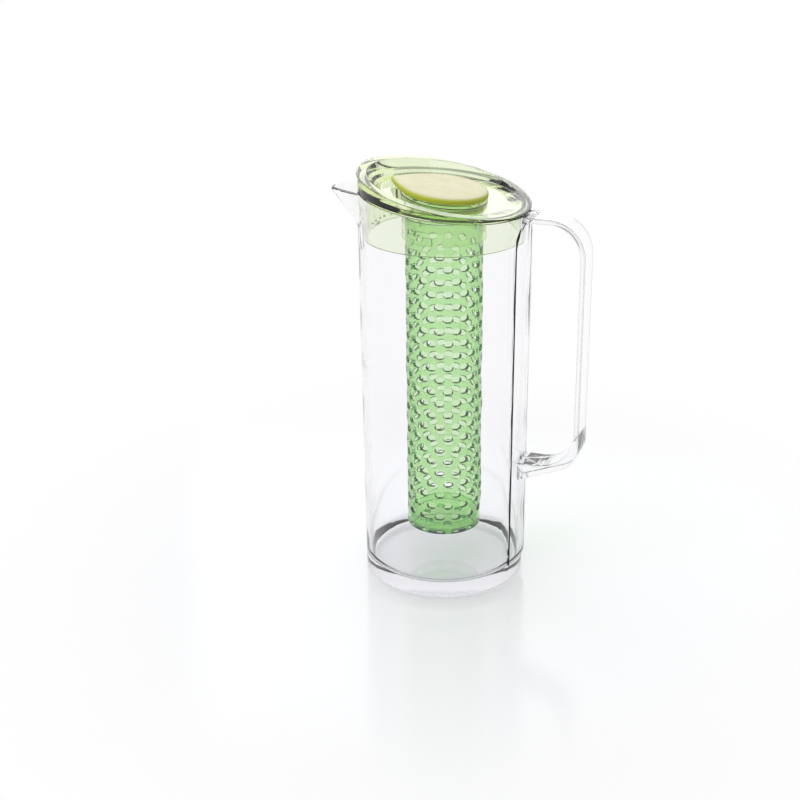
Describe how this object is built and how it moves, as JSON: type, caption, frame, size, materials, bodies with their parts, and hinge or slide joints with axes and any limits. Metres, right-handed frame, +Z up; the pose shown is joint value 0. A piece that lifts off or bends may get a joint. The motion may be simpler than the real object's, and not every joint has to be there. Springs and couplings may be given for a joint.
{
  "type": "fruit infuser pitcher",
  "caption": "Tall clear jug with a slanted rim, wide spout and flat loop handle; its tinted dished lid carries a perforated infuser tube and a leaf-shaped stopper.",
  "frame": {"origin": "centre of the jug's base, on its underside", "axes": "+Z up along the jug's axis, +X towards the handle, -X towards the spout"},
  "size_m": [0.1721, 0.1106, 0.2791],
  "materials": {
    "clear_plastic": "clear, polished",
    "lid_tint": "clear, pale green tint, polished",
    "infuser_tint": "clear, green tint, polished",
    "lime_plastic": "yellow-green, satin gloss",
    "pale_seal": "milky, satin"
  },
  "bodies": {
    "jug": {"jug_body": "clear_plastic", "handle": "clear_plastic"},
    "lid": {"lid_rim": "lid_tint", "lid_dish": "lid_tint"},
    "infuser": {"infuser_basket": "infuser_tint", "infuser_base": "infuser_tint"},
    "stopper": {"stopper_knob": "lime_plastic", "stopper_plug": "lid_tint", "stopper_seal": "pale_seal"}
  },
  "joints": [
    {"name": "lid_lift", "type": "slide", "parent": "jug", "child": "lid", "axis": [0, 0, 1], "range_m": [0, 0.25]},
    {"name": "infuser_twist", "type": "hinge", "parent": "lid", "child": "infuser", "pos_m": [0, 0, 0.243], "axis": [0, 0, 1], "range_deg": [0, 40]},
    {"name": "stopper_lift", "type": "slide", "parent": "lid", "child": "stopper", "axis": [0, 0, 1], "range_m": [0, 0.03]}
  ]
}
